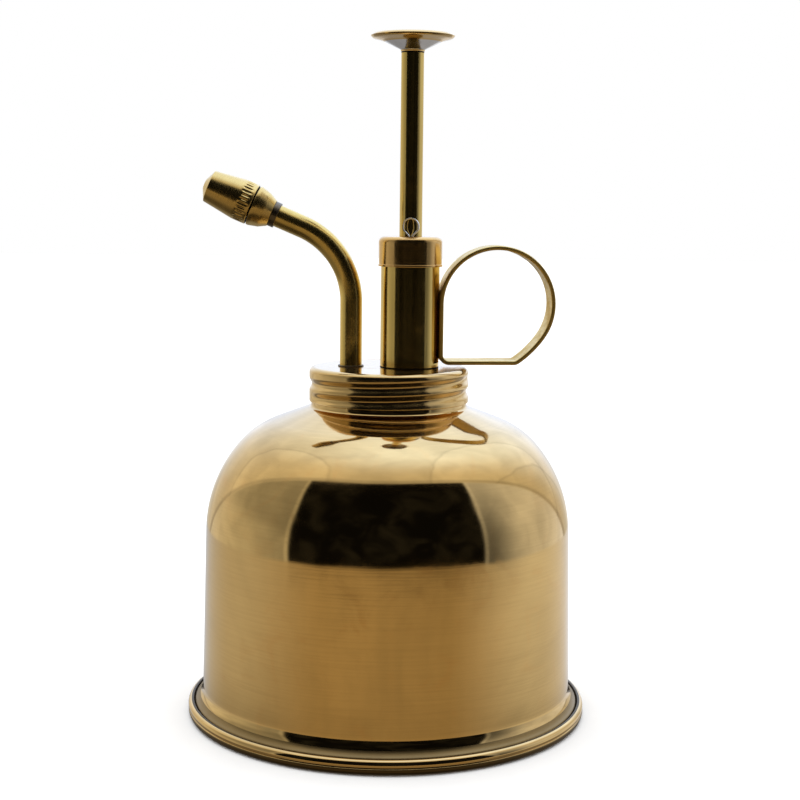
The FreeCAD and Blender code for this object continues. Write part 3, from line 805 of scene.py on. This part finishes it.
class Room:
    """The studio as the brass reflects it: a bright cloth tent with a dark opening towards the viewer.

    Directions are told by `aside`, degrees to either side of the viewer's way, and `height`, degrees above
    level.
    """

    CEILING_LEAN = math.radians(50.0)
    CEILING_EDGE = math.cos(math.radians(71.5))
    HALF_OPENING = (60.5, 63.5)
    GROUND_EDGE = (-11.3, -10.5)
    CLOTH_FOLDS = ((0.95, 0.3, 0.62), (-0.9, 0.4, 0.78), (-0.86, 0.5, -0.42))

    def __init__(self, nodes):
        self.nodes = nodes
        self.way = nodes.add("ShaderNodeTexCoord").outputs["Generated"]
        self.x, self.y, self.z = nodes.split(self.way)
        azimuth = nodes.times(nodes.math("ARCTAN2", self.x, nodes.times(self.y, -1.0)), 180 / math.pi)
        self.height = nodes.times(nodes.math("ARCSINE", self.z), 180 / math.pi)
        self.aside = nodes.math("ABSOLUTE", azimuth)
        self.folds = nodes.noise(self.way, 3.2, 3.0, 0.5, 0.8)
        self.mottle = nodes.noise(self.way, 11.0, 4.0, 0.6)
        self.wobble = nodes.times(nodes.minus(nodes.noise(self.way, 5.0, 1.0), 0.5), 2.4)
        lean = self.CEILING_LEAN
        towards = nodes.plus(nodes.times(self.y, math.cos(lean)), nodes.times(self.z, math.sin(lean)))
        self.towards = nodes.minus(towards, nodes.times(self.x, self.x, 0.22))
        self.edge = nodes.minus(self.aside, nodes.step(20.0, 75.0, self.height, 0.0, 14.0))

    def grey(self, value):
        return self.nodes.vector(value, value, value)

    def walls(self):
        nodes, x, aside, height = self.nodes, self.x, self.aside, self.height
        rise = nodes.step(2.0, 14.0, height)
        upper = nodes.times(nodes.step(-0.35, 0.35, x, 0.38, 0.70), rise)
        lower = nodes.times(nodes.step(-0.35, 0.35, x, 0.52, 0.60), nodes.minus(1.0, rise))
        side = nodes.times(
            nodes.plus(upper, lower),
            nodes.step(95.0, 145.0, aside, 1.0, 1.45),
            nodes.step(0.25, 0.75, self.folds, 0.88, 1.12),
        )
        corner = nodes.times(
            nodes.step(66.0, 100.0, aside, 1.0, 0.0),
            nodes.step(8.0, 44.0, height, 0.78, 0.3),
            nodes.step(-0.3, 0.3, x, 0.45, 1.0),
        )
        side = nodes.times(side, nodes.minus(1.0, corner))
        hem = nodes.times(nodes.step(62.0, 63.0, self.edge), nodes.step(64.5, 66.0, self.edge, 1.0, 0.0))
        side = nodes.plus(side, nodes.times(hem, 0.14))
        warm = nodes.blend(nodes.step(-0.35, 0.35, x), (1.0, 0.95, 0.78, 1.0), (1.0, 1.02, 1.04, 1.0))
        return nodes.blend(1.0, warm, self.grey(side), "MULTIPLY")

    def darkness(self):
        dark = self.nodes.step(0.42, 0.72, self.folds, 0.004, 0.016)
        return self.nodes.vector(dark, self.nodes.times(dark, 0.95), self.nodes.times(dark, 0.82))

    def roof(self):
        nodes = self.nodes
        across = nodes.step(-0.75, 0.1, self.x, 0.35, 1.0)
        overhead = nodes.times(nodes.step(0.38, 0.82, self.towards), across)
        roof = nodes.blend(overhead, (0.78, 0.73, 0.60, 1.0), (1.26, 1.50, 1.98, 1.0))
        crease = nodes.math("ABSOLUTE", nodes.minus(self.towards, self.CEILING_EDGE + 0.02))
        creased = nodes.step(0.0, 0.035, crease, 0.66, 1.0)
        shade = nodes.times(creased, nodes.step(0.25, 0.75, self.folds, 0.88, 1.1))
        for sideways, up, at in self.CLOTH_FOLDS:
            line = nodes.plus(nodes.times(self.x, sideways), nodes.times(self.z, up))
            line = nodes.minus(line, nodes.plus(nodes.times(self.wobble, 0.02), at))
            patch = nodes.step(-0.006, 0.006, line, 0.95, 1.04)
            fold = nodes.step(0.0, 0.016, nodes.math("ABSOLUTE", line), 0.82, 1.0)
            shade = nodes.times(shade, nodes.times(patch, fold))
        return nodes.blend(1.0, roof, self.grey(shade), "MULTIPLY")

    def ground(self):
        nodes, x, aside, height = self.nodes, self.x, self.aside, self.height
        patchy = nodes.step(0.3, 0.75, self.mottle)
        near = nodes.blend(patchy, (0.43, 0.32, 0.17, 1.0), (0.40, 0.30, 0.16, 1.0))
        beside = nodes.blend(nodes.step(-0.5, 0.5, x), (0.54, 0.50, 0.41, 1.0), (0.72, 0.70, 0.63, 1.0))
        low = nodes.blend(nodes.step(35.0, 105.0, aside), near, beside)
        # Steeper down the ground turns dark and then near black: a painted shadow of the mister on the ground
        # near its foot, as its reflections see it.
        low = nodes.blend(nodes.step(-21.0, -14.0, height, 0.46, 0.0), low, (0.10, 0.075, 0.045, 1.0))
        low = nodes.blend(nodes.step(-54.0, -38.0, height, 0.95, 0.0), low, (0.02, 0.016, 0.01, 1.0))
        far = nodes.blend(nodes.step(-0.3, 0.3, x), (0.60, 0.62, 0.66, 1.0), (0.84, 0.84, 0.86, 1.0))
        low = nodes.blend(nodes.step(112.0, 165.0, aside), low, far)
        shadow = nodes.times(nodes.step(-19.4, -16.0, height, 0.6, 0.0), nodes.step(45.0, 80.0, aside))
        return nodes.blend(shadow, low, (0.08, 0.06, 0.035, 1.0))

    def colour(self):
        nodes, wobble = self.nodes, self.wobble
        opening = nodes.step(*self.HALF_OPENING, nodes.plus(self.edge, nodes.times(wobble, 0.3)), 1.0, 0.0)
        ceiling = nodes.step(self.CEILING_EDGE - 0.012, self.CEILING_EDGE + 0.012, self.towards)
        below = nodes.step(*self.GROUND_EDGE, nodes.plus(self.height, nodes.times(wobble, 0.08)), 1.0, 0.0)
        room = nodes.blend(opening, self.walls(), self.darkness())
        room = nodes.blend(ceiling, room, self.roof())
        return nodes.blend(below, room, self.ground())


def paint_room():
    """Only reflections see the room; the floor is lit, and the background seen, as plain white."""
    world = bpy.data.worlds.new("studio")
    world.use_nodes = True
    bpy.context.scene.world = world
    nodes = Nodes(world.node_tree)
    rays = nodes.add("ShaderNodeLightPath").outputs
    room = nodes.blend(rays["Is Diffuse Ray"], Room(nodes).colour(), (1.1, 1.1, 1.1, 1.0))
    room = nodes.blend(rays["Is Camera Ray"], room, (1.0, 1.0, 1.0, 1.0))
    glow = nodes.add("ShaderNodeBackground", inputs={"Color": room, "Strength": 1.0})
    nodes.finish("ShaderNodeOutputWorld", glow.outputs[0])


def add_light():
    light = bpy.data.lights.new("overhead", "SUN")
    light.angle = SUN_SPREAD
    light.energy = SUN_STRENGTH
    lamp = bpy.data.objects.new("overhead", light)
    lamp.visible_glossy = False
    bpy.context.scene.collection.objects.link(lamp)


def add_camera():
    camera = bpy.data.cameras.new("camera")
    camera.sensor_width = SENSOR_WIDTH
    camera.lens = FOCAL_LENGTH
    camera.clip_start = 0.01
    camera.clip_end = 20.0
    eye = bpy.data.objects.new("camera", camera)
    aim = Matrix.Rotation(EYE_TILT, 4, "X") @ Matrix.Rotation(EYE_ROLL, 4, "Z")
    eye.matrix_world = Matrix.Translation(EYE) @ aim
    bpy.context.scene.collection.objects.link(eye)
    bpy.context.scene.camera = eye


add_floor()
paint_room()
add_light()
add_camera()
bpy.context.scene.view_settings.view_transform = "Standard"

bpy.context.view_layer.update()
